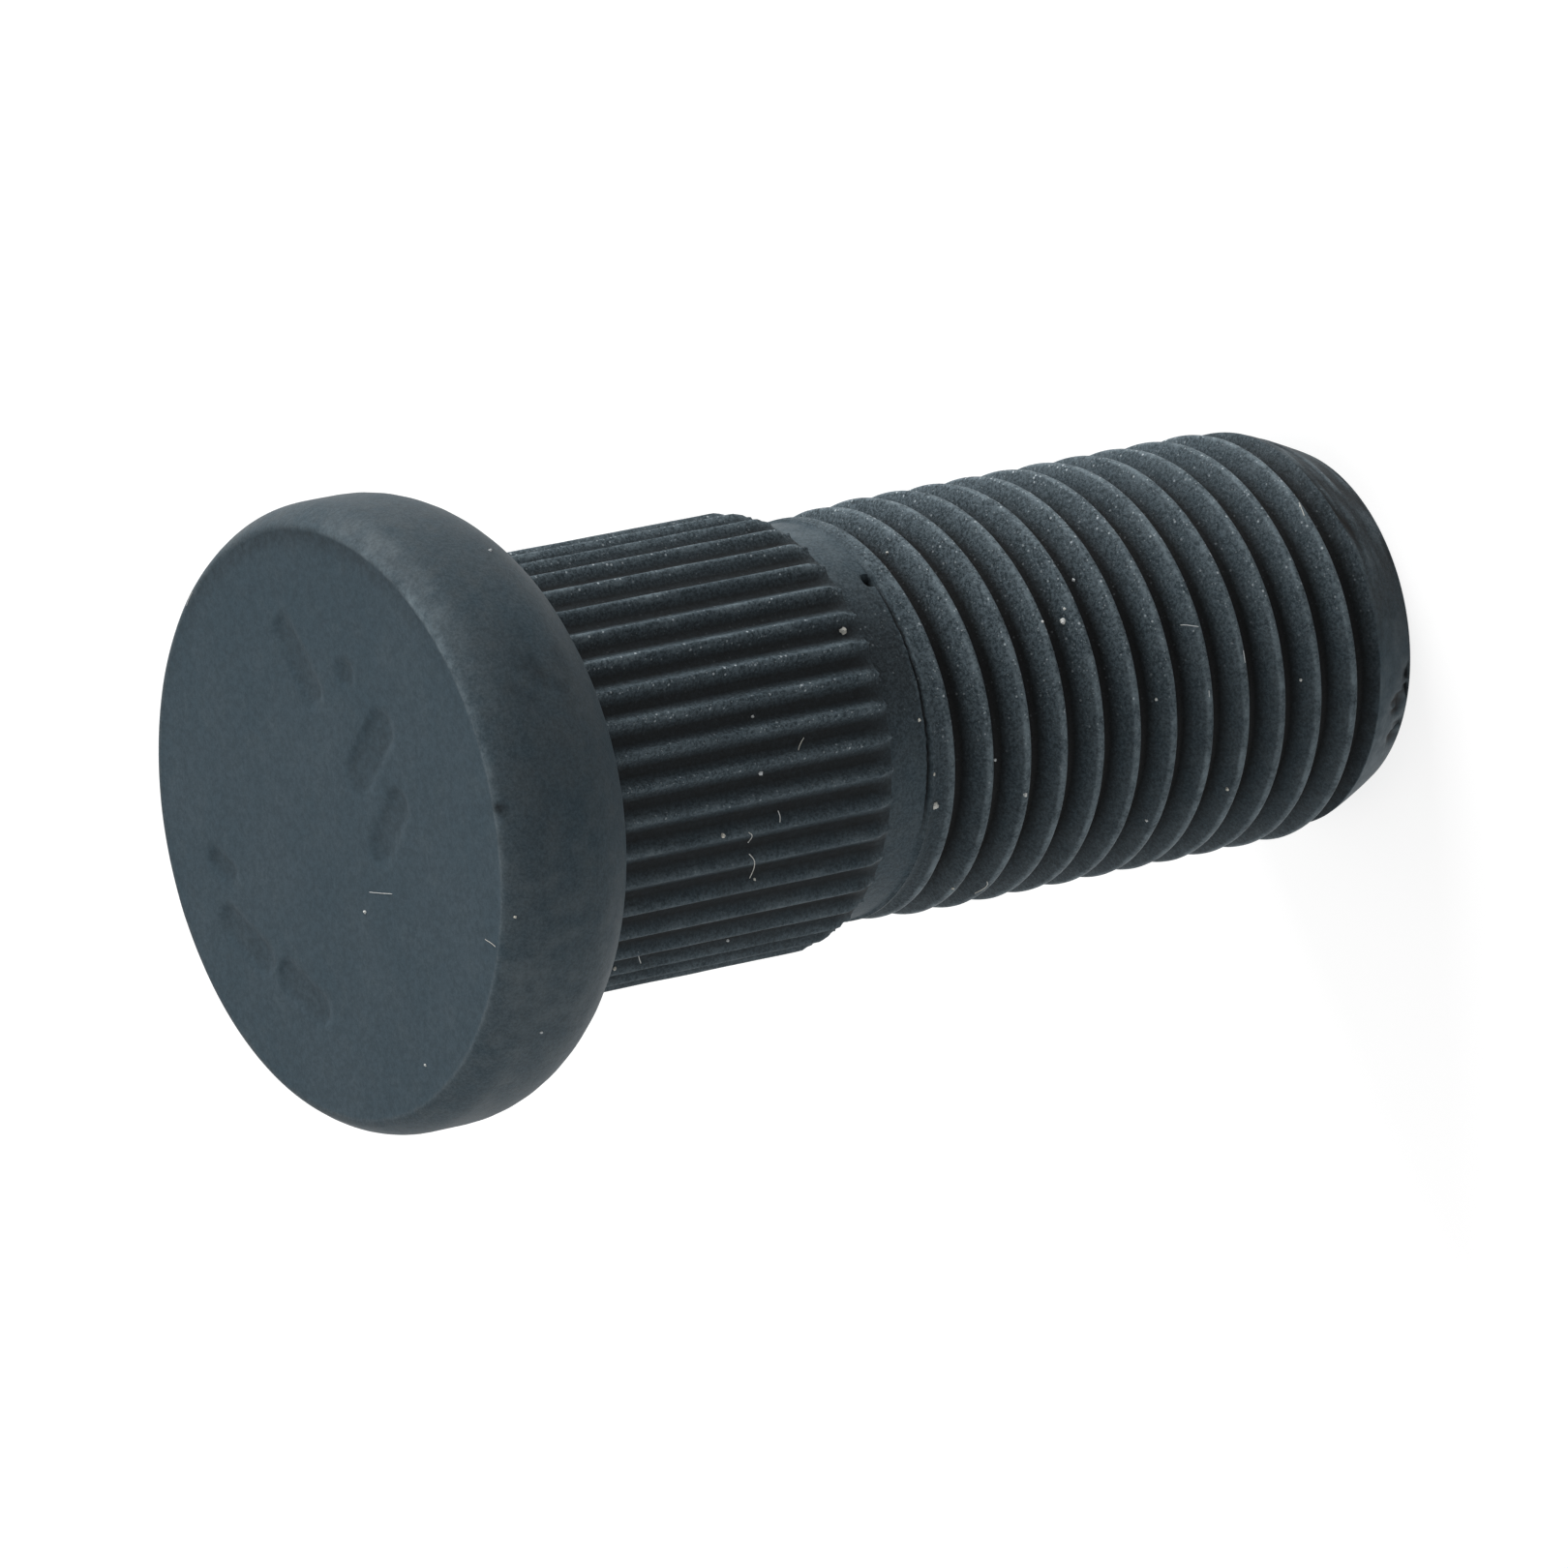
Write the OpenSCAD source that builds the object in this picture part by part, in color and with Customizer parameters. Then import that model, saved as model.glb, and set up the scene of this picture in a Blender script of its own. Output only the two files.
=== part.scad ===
// Press-in wheel stud: a low barrel head, a splined shank, a plain neck and a rolled M14 x 1.5 thread.
// It stands on the end of its thread, with the head up. Lengths are in millimetres and the axis is Z.

/* [Overall] */

// Length from the end of the thread to the face of the head
overall_length = 39.7; // [34:0.1:60]

/* [Head] */

// Largest diameter of the head
head_diameter = 20.8; // [18:0.1:24]

// Height of the head from its seat to its face
head_height = 5.5; // [4.6:0.1:7]

// Radius of the shoulder between the face and the rim
shoulder_radius = 2; // [1.6:0.1:3]

// Height of the shoulder, less than its radius so that the face keeps an edge
shoulder_height = 1.4; // [0.6:0.1:1.5]

// Height of the straight part of the rim
rim_height = 1.2; // [0.2:0.1:1.6]

// Radius of the barrel curve from the rim back to the seat
back_radius = 3.5; // [3.2:0.1:6]

/* [Splines] */

// Number of splines around the shank
spline_count = 42; // [36:2:48]

// Diameter over the spline crests
spline_diameter = 14.7; // [14.2:0.02:15]

// Length of the splines below the seat
spline_length = 12.05; // [8:0.05:13]

// Depth of the groove between two splines
spline_groove_depth = 0.34; // [0.3:0.02:0.48]

// Share of each spline's pitch that stays as a crest
spline_crest_share = 0.3; // [0.26:0.02:0.5]

// Width of the groove floor
spline_floor_width = 0.16; // [0.08:0.02:0.24]

// Length over which the crests run down at the lower end of the splines
spline_runout = 0.9; // [0.3:0.1:1.5]

// How far the crests have run down there
spline_runout_drop = 0.24; // [0.1:0.02:0.28]

/* [Neck] */

// Diameter of the plain neck between the splines and the thread
neck_diameter = 13.24; // [13.1:0.02:13.3]

/* [Thread] */

// Outer diameter of the thread over its crests
thread_diameter = 13.84; // [13.7:0.02:13.96]

// Pitch of the thread
thread_pitch = 1.5; // [1.5:0.5:2]

// Length of the threaded end, with its bevel and its run-out at the neck
thread_length = 20.35; // [16:0.05:22]

// Diameter of the lip where the thread run-out stands proud of the neck
lip_diameter = 13.42; // [13.4:0.02:13.5]

// Length over which the crests rise from the lip to their full diameter
crest_rise = 3; // [1:0.1:4]

// Length of neck-side thread over which the grooves reach full depth
groove_rise = 1.1; // [1:0.1:3]

// Height of the first crest point at the end face, on the side that faces +X
thread_start = 0.56; // [0:0.02:1.4]

/* [Thread end] */

// Diameter of the flat end face
end_diameter = 11.84; // [11:0.02:12]

// Length of the bevel on the end of the thread
end_bevel_length = 2.6; // [1.5:0.1:4]

// Swell of the bevel beyond a straight cone
end_bevel_swell = 0.08; // [0:0.01:0.12]

// Height above the end face where the last groove is at its full depth
end_groove_full = 1.9; // [1:0.1:4]

/* [Hidden] */

steel = [0.22, 0.25, 0.28];
$fn = 128;
joint = 0.5;
lip_joint = 0.1;

seat_z = overall_length - head_height;
spline_end_z = seat_z - spline_length;
head_radius = head_diameter / 2;
spline_radius = spline_diameter / 2;
spline_pitch_angle = 360 / spline_count;

// A thread column is one flat step around the axis, and the rows of points climb one column's rise a step.
columns = 48;
rise = thread_pitch / columns;
half_angle = 30;
thread_radius = thread_diameter / 2;
thread_depth = 0.6134 * thread_pitch;
crest_flat = 2;
crest_edge = 4;
root_edge = 18;
root_middle = columns / 2;
crest_round = 0.07 * thread_pitch / 1.5;
flank_drop = crest_round + (root_edge - crest_edge) * rise / tan(half_angle);
row_rises = [-crest_edge, -crest_flat, crest_flat, crest_edge, root_edge, root_middle, columns - root_edge];
row_depths = [crest_round, 0, 0, crest_round, flank_drop, thread_depth, flank_drop];
rows = len(row_rises);
start_rises = round(thread_start / rise);
top_rises = round(thread_length / rise);
thread_top = top_rises * rise;
first_turn = -2;
turns = ceil(top_rises / columns) + 4;
row_total = turns * rows;
groove_end_length = 1.1;

function unit(x) = max(0, min(1, x));
function smooth(x) = let (u = unit(x)) u * u * (3 - 2 * u);

// Rises of the row j above the end face, at the column i
function row_at(i, j) = start_rises + i + columns * (first_turn + floor(j / rows)) + row_rises[j % rows];

// Radius over the crests at a height: the lip, then the full thread
function crest_radius(z) =
    let (u = unit((thread_top - z) / crest_rise))
    lip_diameter / 2 * (1 - u) + thread_radius * u;

// Radius of the bevel at a height
function bevel_radius(z) =
    let (u = unit(z / end_bevel_length))
    end_diameter / 2 * (1 - u) + thread_radius * u + 4 * end_bevel_swell * u * (1 - u);

// Share of its full depth that a groove has at a height
function groove_share(z) =
    smooth((thread_top - z) / groove_rise)
    * smooth((z - end_groove_full + groove_end_length) / groove_end_length);

// Radius of the thread's surface at a height, on a row of this depth
function surface_radius(z, depth) =
    let (r = crest_radius(z) - groove_share(z) * depth)
    z < end_bevel_length ? min(r, bevel_radius(z)) : r;

function on_ring(i, r, z) = [r * cos(360 * i / columns), r * sin(360 * i / columns), z];

// Number of a point: the rows first, then the ring at the end face, then the ring at the lip.
// A row that has not begun, or has ended, is at one of the two rings.
function point_at(i, j) =
    i == columns ? point_at(0, j + rows)
    : row_at(i, j) <= 0 ? row_total * columns + i
    : row_at(i, j) >= top_rises ? (row_total + 1) * columns + i
    : j * columns + i;

// The two triangles of a cell, each kept only where its corners differ
function cell(a, b, c, d) = concat(
    a != d && d != c && c != a ? [[a, d, c]] : [],
    a != c && c != b && b != a ? [[a, c, b]] : []);

module thread() {
    points = concat(
        [for (j = [0 : row_total - 1]) for (i = [0 : columns - 1])
            let (z = row_at(i, j) * rise)
            on_ring(i, surface_radius(z, row_depths[j % rows]), z)],
        [for (i = [0 : columns - 1]) on_ring(i, end_diameter / 2, 0)],
        [for (i = [0 : columns - 1]) on_ring(i, lip_diameter / 2, thread_top)]);
    sides = [for (i = [0 : columns - 1]) for (j = [0 : row_total - rows - 2])
        each cell(point_at(i, j), point_at(i + 1, j), point_at(i + 1, j + 1), point_at(i, j + 1))];
    end_face = [for (i = [0 : columns - 1]) row_total * columns + i];
    top_face = [for (i = [columns - 1 : -1 : 0]) (row_total + 1) * columns + i];
    polyhedron(points, concat(sides, [end_face, top_face]), convexity = 10);
}

// The head is turned from its section: a shoulder arc, a straight rim and a barrel back.
module head_section() {
    difference() {
        square([head_radius, head_height]);
        difference() {
            translate([head_radius - shoulder_radius, head_height - shoulder_height])
                square([shoulder_radius + 1, shoulder_height + 1]);
            translate([head_radius - shoulder_radius, head_height - shoulder_height])
                circle(r = shoulder_radius);
        }
        difference() {
            translate([head_radius - back_radius, -1])
                square([back_radius + 1, head_height - shoulder_height - rim_height + 1]);
            translate([head_radius - back_radius, head_height - shoulder_height - rim_height])
                circle(r = back_radius);
        }
    }
}

module head() {
    translate([0, 0, seat_z])
        rotate_extrude()
            head_section();
}

// One groove between two splines, with sloping flanks and a narrow floor
module spline_groove() {
    floor_radius = spline_radius - spline_groove_depth;
    half_top = spline_radius * sin(spline_pitch_angle * (1 - spline_crest_share) / 2);
    spread = (half_top - spline_floor_width / 2) / spline_groove_depth;
    reach = spline_groove_depth + 0.3;
    translate([0, 0, spline_end_z - joint])
        linear_extrude(spline_length + 2 * joint + 0.1)
            polygon([
                [floor_radius, -spline_floor_width / 2],
                [floor_radius + reach, -spline_floor_width / 2 - spread * reach],
                [floor_radius + reach, spline_floor_width / 2 + spread * reach],
                [floor_radius, spline_floor_width / 2]]);
}

module splined_shank() {
    difference() {
        union() {
            translate([0, 0, spline_end_z + spline_runout])
                cylinder(h = spline_length - spline_runout + joint, r = spline_radius);
            translate([0, 0, spline_end_z])
                cylinder(h = spline_runout, r1 = spline_radius - spline_runout_drop, r2 = spline_radius);
        }
        for (k = [0 : spline_count - 1])
            rotate(-90 + (k + 0.5) * spline_pitch_angle)
                spline_groove();
    }
}

module neck() {
    translate([0, 0, thread_top - lip_joint])
        cylinder(h = spline_end_z - thread_top + lip_joint + joint, d = neck_diameter);
}

module wheel_stud() {
    color(steel)
        union() {
            head();
            splined_shank();
            neck();
            thread();
        }
}

wheel_stud();
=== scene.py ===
"""A press-in wheel stud of dark phosphated steel, standing on its thread on a white table."""

import math

import bmesh
import bpy
import numpy as np
from mathutils import Matrix, Vector, noise
from mathutils.bvhtree import BVHTree


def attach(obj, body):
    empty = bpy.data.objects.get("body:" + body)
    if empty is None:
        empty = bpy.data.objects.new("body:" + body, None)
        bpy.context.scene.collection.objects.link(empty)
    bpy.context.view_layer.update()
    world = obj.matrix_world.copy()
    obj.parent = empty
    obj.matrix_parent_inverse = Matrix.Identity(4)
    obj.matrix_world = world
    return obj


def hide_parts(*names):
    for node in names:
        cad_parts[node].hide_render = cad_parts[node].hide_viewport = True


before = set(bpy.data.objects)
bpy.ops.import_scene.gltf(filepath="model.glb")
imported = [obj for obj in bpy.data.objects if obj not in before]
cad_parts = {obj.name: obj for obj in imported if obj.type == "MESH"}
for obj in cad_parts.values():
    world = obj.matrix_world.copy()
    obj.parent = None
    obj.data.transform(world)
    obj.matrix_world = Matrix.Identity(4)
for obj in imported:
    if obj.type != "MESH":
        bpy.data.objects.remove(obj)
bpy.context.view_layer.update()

# Sizes of the stud in millimetres, the same as in the part's source

OVERALL_LENGTH = 39.7
HEAD_RADIUS = 10.4
HEAD_HEIGHT = 5.5
SHOULDER_RADIUS = 2.0
SHOULDER_HEIGHT = 1.4
RIM_HEIGHT = 1.2
BACK_RADIUS = 3.5
SPLINE_COUNT = 42
SPLINE_RADIUS = 7.35
SPLINE_FLOOR_RADIUS = 7.01
SPLINE_LENGTH = 12.05
SPLINE_RUNOUT = 0.9
SPLINE_RUNOUT_DROP = 0.24
NECK_RADIUS = 6.62
LIP_RADIUS = 6.71
THREAD_RADIUS = 6.92
THREAD_PITCH = 1.5
THREAD_TOP = 20.34375
THREAD_START = 0.5625
CREST_RISE = 3.0
GROOVE_RISE = 1.1
END_RADIUS = 5.92
END_BEVEL_LENGTH = 2.6
END_BEVEL_SWELL = 0.08
END_GROOVE_FULL = 1.9
END_GROOVE_LENGTH = 1.1

SEAT_Z = OVERALL_LENGTH - HEAD_HEIGHT
SPLINE_END_Z = SEAT_Z - SPLINE_LENGTH
SPLINE_PITCH = 2 * math.pi / SPLINE_COUNT

# The head was struck a little off the axis of the shank: how far towards -X
HEAD_OFF_AXIS = 0.2

# How the rows and columns of points lie

# Across one spline: where each column of points lies, as a share of the spline's pitch,
# and how far down from the crest towards the groove floor it is.
SPLINE_COLUMNS = [
    (-0.38, 1.0), (-0.21, 0.6), (-0.08, 0.1), (0.0, 0.0), (0.08, 0.1), (0.21, 0.6), (0.38, 1.0),
]

# Along the splines: heights above their lower end, closer together where the crests run down
SPLINE_HEIGHTS = [0.03, 0.1, 0.2, 0.35, 0.55, 0.75, 0.95, *np.linspace(1.3, SPLINE_LENGTH - 0.3, 20)]

# Across one turn of the thread: height in shares of the pitch, and depth in millimetres
THREAD_ROWS = [
    (-0.105, 0.085), (-0.065, 0.022), (0.0, 0.0), (0.065, 0.022), (0.105, 0.085), (0.23, 0.42),
    (0.365, 0.775), (0.425, 0.89), (0.5, 0.92), (0.575, 0.89), (0.635, 0.775), (0.77, 0.42),
]

# Where the edge between a turn and the bevel is looked for, in shares of the pitch,
# and the rows that move to it.
EDGE_PROBE = np.linspace(0.09, 0.345, 52)
EDGE_ROW = 4
PAST_EDGE_ROW = 5

# Points of the thread this near to its end or its lip fall together with the flat ring there
MERGE_GAP = 0.03

# Along the neck: heights above the lip of the thread, closer together at the crease
NECK_HEIGHTS = [
    0.02, 0.05, 0.08, 0.12, 0.17, 0.22, 0.28, 0.35, 0.42, 0.5, 0.62, 0.8, 1.0, 1.2, 1.4, 1.6, 1.7, 1.76,
]

# The head: radii of the rings in its seat, steps in each arc of its side, and the rounding of the edge of
# its face, each point so far inward from the edge and so far below the face.
SEAT_RADII = (7.7, 8.3, 8.8)
ARC_STEPS = 8
EDGE_ROUNDING = [(0.01, 0.03), (0.05, 0.008), (0.11, 0.0)]

# Wear of the surface, and the light and shade painted on it

# How gritty the coating is, from 0 for smooth to 1
END_GRAIN = 0.4
LIP_GRAIN = 0.7
NECK_GRAIN = 0.4
HEAD_GRAIN = 0.25
FACE_GRAIN = 0.12

# How far the wear goes into the steel, or stands up from it, in millimetres
CRUSH_DEPTH = 0.16
TEAR_DEPTH = 0.05
CREASE_DEPTH = 0.1
NICK_DEPTH = 0.3
EDGE_NICK_DEPTH = 0.06
BURR_HEIGHT = 0.11
STROKE_DEPTH = 0.1
THREAD_WAVE = 0.012
CREST_WAVE = 0.015
HEAD_DENT = 0.02
FACE_WAVE = 0.014
FACE_SINK = 0.012

# Sides of the stud that are worn, torn, painted lighter as highlights and painted darker as shade: the angle
# that they face and the half width, in degrees
LIP_RUBBED = (295, 75)
LIP_FLANK_RUBBED = (295, 70)
BEVEL_TORN = (305, 58)
BEVEL_LIT = (226, 46)
NECK_SHADED = (285, 42)
NECK_CHIPPED = (285, 50)
NECK_HIGHLIGHT = (335, 42)
NECK_FAINT_HIGHLIGHT = (238, 30)
CREASE_SHOWN = (270, 58)
SPLINES_LIT = (318, 78)
SHOULDER_LIT = (316, 48)
EDGE_CHIPPED = (302, 60)
HEAD_FAINTLY_LIT = (229, 48)
FACE_EDGE_SHADOW = (350, 78)

# Small places on the side: angle, height, half width and half height. Two are nicks painted dark with shade, in
# the neck at the end of the crease and in the edge of the head's face, one is a stain below the shoulder, and
# the rest are crushed places, made dark, in the edge of the thread's end.
NECK_NICK = (308.5, THREAD_TOP + 0.24, 0.27, 0.21)
EDGE_NICK = (266, OVERALL_LENGTH - 0.12, 0.24, 0.16)
HEAD_STAIN = (289, 37.0, 1.9, 1.5)
CRUSHED = [(244, 0.0, 0.7, 0.36), (238, 0.6, 0.42, 0.5), (227, 0.4, 0.5, 0.45)]

# Plain strokes sunk into the face: both ends and the half width, in millimetres,
# and how wide their sloping edges are.
FACE_STROKES = [
    (4.3, -0.6, 6.4, 0.3, 0.5),
    (4.6, -2.75, 4.64, -2.65, 0.42),
    (1.4, -2.4, 2.6, -4.1, 0.66),
    (-1.1, -2.8, 0.1, -4.2, 0.55),
    (-5.8, 2.7, -4.6, 4.1, 0.55),
    (-3.8, 5.4, -2.5, 6.9, 0.55),
    (-0.9, 6.4, -0.4, 7.0, 0.4),
]
STROKE_SLOPE = 0.34


def smooth(value):
    """0 below 0, 1 above 1 and an even curve between them."""
    u = np.clip(value, 0.0, 1.0)
    return u * u * (3 - 2 * u)


def rough(x, y, z, size, seed):
    """Even noise between -1 and 1 at a point in millimetres, whose lumps are about this size."""
    return noise.noise(Vector((x / size + seed, y / size - seed, z / size)))


def rough_at(a, radius, height, size, seed):
    """The same noise at an angle and height on a cylinder of this radius."""
    return rough(radius * math.cos(a), radius * math.sin(a), height, size, seed)


def rough_around(angles, radius, height, size, seed):
    return np.array([rough_at(a, radius, height, size, seed) for a in angles])


def degrees_from(angle, angles):
    """How far angles in radians lie from an angle in degrees, in degrees from -180 to 180."""
    return (np.degrees(angles) - angle + 180) % 360 - 180


def near(angles, z, angle, at_z, wide, high, radius, soft=1.0):
    """1 around a place on the side of the stud, and 0 outside it. The place is in degrees and millimetres."""
    x = np.radians(degrees_from(angle, angles)) * radius / wide
    return smooth((1 + 0.3 * soft - np.sqrt(x * x + ((z - at_z) / high) ** 2)) / soft)


def toward(angles, angle, half):
    """1 on the side of the stud that faces an angle in degrees, and 0 from this many degrees away from it."""
    return smooth(1 - np.abs(degrees_from(angle, angles)) / half)


def lit_side(angles):
    """1 on the side towards +X, where the key lamp shines, and 0 on the side away from it. There the grit,
    glints and flanks are painted brighter, as light, and the far side is painted darker, as shade.
    """
    return smooth((np.cos(angles) + 0.75) / 1.2)


# The stud's skin

class Skin:
    """A closed skin of quads built up ring by ring, from the end of the thread to the face of the head.

    Each point carries three values for the steel: how gritty it is, how dark it is from dirt and painted shade,
    and how pale it is from wear and painted highlights.
    """

    def __init__(self):
        share = [(k + at) * SPLINE_PITCH for k in range(SPLINE_COUNT) for at, _ in SPLINE_COLUMNS]
        self.angles = np.array(share) - math.pi / 2
        self.columns = len(self.angles)
        self.points = []
        self.faces = []
        self.grain = []
        self.dirt_and_shade = []
        self.wear_and_highlight = []

    def point(self, x, y, z, grain, dirt_and_shade=0.0, wear_and_highlight=0.0):
        self.points.append((x, y, z))
        self.grain.append(grain)
        self.dirt_and_shade.append(dirt_and_shade)
        self.wear_and_highlight.append(wear_and_highlight)
        return len(self.points) - 1

    def ring(self, radius, z, grain, dirt_and_shade=0.0, wear_and_highlight=0.0, every=1):
        """One ring of points. Each value is a number, or one number for every column."""
        angles = self.angles[::every]
        values = [np.broadcast_to(v, len(angles)) for v in (radius, z, grain, dirt_and_shade, wear_and_highlight)]
        return [
            self.point(r * math.cos(a), r * math.sin(a), h, g, d, w)
            for a, r, h, g, d, w in zip(angles, *values)
        ]

    def face(self, corners):
        """A face without the corners that fall together, and none where fewer than three are left."""
        kept = [c for k, c in enumerate(corners) if c != corners[k - 1]]
        if len(set(kept)) > 2:
            self.faces.append(kept)

    def join(self, lower, upper):
        """Faces between two rings, the second of them further along the profile and maybe half as fine."""
        step = len(lower) // len(upper)
        for i in range(len(upper)):
            n = (i + 1) % len(upper)
            first, last = lower[step * i], lower[step * n]
            middle = lower[step * i + 1] if step == 2 else first
            self.face([middle, last, upper[n], upper[i]])
            self.face([first, middle, upper[i]])

    def join_all(self, rings):
        for lower, upper in zip(rings, rings[1:]):
            self.join(lower, upper)

    def close(self, ring, centre, inward):
        """A fan from a ring to the point at its middle."""
        for i in range(len(ring)):
            n = (i + 1) % len(ring)
            self.face([ring[i], ring[n], centre] if inward else [ring[n], ring[i], centre])


def crest_radius(z):
    """The radius of the thread's crests, which rise from the lip to the full size."""
    u = np.clip((THREAD_TOP - z) / CREST_RISE, 0, 1)
    return LIP_RADIUS * (1 - u) + THREAD_RADIUS * u


def bevel_radius(z):
    """The radius of the swelling bevel that cuts the thread away at its end."""
    u = np.clip(z / END_BEVEL_LENGTH, 0, 1)
    return END_RADIUS * (1 - u) + THREAD_RADIUS * u + 4 * END_BEVEL_SWELL * u * (1 - u)


def groove_share(z):
    """How much of its full depth the groove has at a height. It fades out at the lip and at the end."""
    at_lip = smooth((THREAD_TOP - z) / GROOVE_RISE)
    at_end = smooth((z - END_GROOVE_FULL + END_GROOVE_LENGTH) / END_GROOVE_LENGTH)
    return at_lip * at_end


def helix_height(a, turn, share):
    """The height of the thread at an angle, on this turn and at this share of the pitch above its crest."""
    return THREAD_START + THREAD_PITCH * (a / (2 * math.pi) + turn + share)


def end_face(skin):
    """The flat end that the stud stands on."""
    centre = skin.point(0, 0, 0, END_GRAIN)
    rings = [skin.ring(r, 0.0, END_GRAIN) for r in (1.5, 3.0, 4.4, 5.4, END_RADIUS - 0.1)]
    skin.close(rings[0], centre, inward=False)
    skin.join_all(rings)
    return rings[-1]


def turn_rows(a, turn):
    """The rows of one turn at an angle. Where the bevel cuts it, two rows move to the edge that is left."""
    rows = list(THREAD_ROWS)
    z = helix_height(a, turn, EDGE_PROBE)
    if 0 < z[0] < END_BEVEL_LENGTH:
        depth = np.interp(EDGE_PROBE, *zip(*THREAD_ROWS))
        on_bevel = bevel_radius(z) < crest_radius(z) - groove_share(z) * depth + 0.003
        if on_bevel.any():
            edge = np.flatnonzero(on_bevel)[-1]
            rows[EDGE_ROW] = (EDGE_PROBE[edge], depth[edge])
            rows[PAST_EDGE_ROW] = (EDGE_PROBE[edge] + 0.015, depth[edge] + 0.04)
    return rows


def thread(skin):
    """The rolled thread. Its rows of points climb with the helix and begin and end at two flat rings."""
    foot = skin.ring(END_RADIUS, 0.0, END_GRAIN, dirt_and_shade=0.3, wear_and_highlight=0.4)
    ragged = rough_around(skin.angles, 9, 0, 0.35, 8.0)
    rubbed_and_lit = 0.9 * toward(skin.angles, *LIP_RUBBED) * smooth(0.5 + 1.5 * ragged)
    lip = skin.ring(LIP_RADIUS, THREAD_TOP, LIP_GRAIN, wear_and_highlight=rubbed_and_lit)
    across = len(THREAD_ROWS)
    turns = range(-2, math.ceil(THREAD_TOP / THREAD_PITCH) + 2)
    grid = [[] for _ in range(across * len(turns))]
    for i, a in enumerate(skin.angles):
        for k, turn in enumerate(turns):
            for j, (share, depth) in enumerate(turn_rows(a, turn)):
                z = helix_height(a, turn, share)
                if z <= MERGE_GAP:
                    point = foot[i]
                elif z >= THREAD_TOP - MERGE_GAP:
                    point = lip[i]
                else:
                    point = thread_point(skin, a, z, depth)
                grid[across * k + j].append(point)
    for j in range(len(grid) - across - 1):
        for i in range(skin.columns):
            # The last column meets the first one a full turn higher
            n, up = (i + 1, j) if i + 1 < skin.columns else (0, j + across)
            skin.face([grid[j][i], grid[up][n], grid[up + 1][n], grid[j + 1][i]])
    return foot, lip


def thread_point(skin, a, z, depth):
    """One point of the thread, at this depth below its crest, with its crests rubbed, painted shade in its
    grooves and on the side away from the key lamp, and its flanks painted lighter on the lit side.
    """
    share = groove_share(z)
    radius = crest_radius(z) - share * depth
    rubbed_and_lit = lit_side(a)
    # The grit and its glints are painted stronger on the lit side, as light.
    grain = (0.55 + 0.45 * rubbed_and_lit) * (0.8 + 0.2 * smooth((z - 7) / 8))
    # Painted shade deep in the grooves and on the side away from the key lamp.
    dirt_and_shade = max(share * smooth((depth - 0.32) / 0.52), 0.3 * (1 - rubbed_and_lit))
    # The crests are worn paler all round, and the flanks on the lit side get a painted highlight.
    wear_and_highlight = (0.25 + share) * smooth(1 - depth / 0.12) + 0.22 * rubbed_and_lit * smooth(1 - depth / 0.6)
    at_lip = smooth(1 - (THREAD_TOP - z) / 0.4) * toward(a, *LIP_FLANK_RUBBED)
    wear_and_highlight += 0.9 * at_lip * smooth(0.4 + 2 * rough_at(a, 9, z, 0.3, 8.0))
    if z < END_BEVEL_LENGTH:
        radius, grain, dirt_and_shade, wear_and_highlight = bevelled(a, z, radius, grain, dirt_and_shade, wear_and_highlight)
    radius += THREAD_WAVE * rough_at(a, 7, z, 1.1, 0.0) * min(1.0, z)
    radius = min(radius, THREAD_RADIUS)
    return skin.point(radius * math.cos(a), radius * math.sin(a), z, grain, dirt_and_shade, wear_and_highlight)


def bevelled(a, z, radius, grain, dirt_and_shade, wear_and_highlight):
    """A point of the last turns as the bevel leaves it: torn on one side, painted paler and crushed on the
    next, with painted shade in the grooves that it cuts.
    """
    bevel = bevel_radius(z)
    sunk = bevel - radius
    on_bevel = 1 - smooth(sunk / 0.04)
    rolled = z - THREAD_PITCH * a / (2 * math.pi)
    streak = rough(rolled, 1.2 * a, 0, 0.3, 4.0)
    torn = on_bevel * toward(a, *BEVEL_TORN)
    crushed = max(near(a, z, *place, END_RADIUS, 0.7) for place in CRUSHED)
    crushed *= smooth(1.25 + 2.6 * rough_at(a, 10, 0.7 * z, 0.42, 2.0))
    # Painted light: one side of the bevel, which faces down to the table and lies in its shade, is made paler,
    # except at the crushed places.
    rubbed_and_lit = 1.05 * toward(a, *BEVEL_LIT) * (1 - crushed)
    grain += (0.12 + 0.6 * torn - grain) * on_bevel
    wear_and_highlight += (rubbed_and_lit + torn * max(0.0, 2 * streak) - wear_and_highlight) * on_bevel
    dirt_and_shade += (torn * (0.5 - 1.2 * streak) - dirt_and_shade) * on_bevel
    # Painted shade in the grooves that the bevel cuts, and the crushed places are made dark.
    groove_shade = 0.84 * smooth(sunk / 0.09) * smooth((2.3 - z) / 0.5)
    dirt_and_shade = max(dirt_and_shade, groove_shade, smooth(1.6 * crushed))
    radius = min(radius, bevel) - TEAR_DEPTH * torn * (0.5 - streak) - CRUSH_DEPTH * crushed
    return radius, grain, dirt_and_shade, wear_and_highlight


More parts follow.
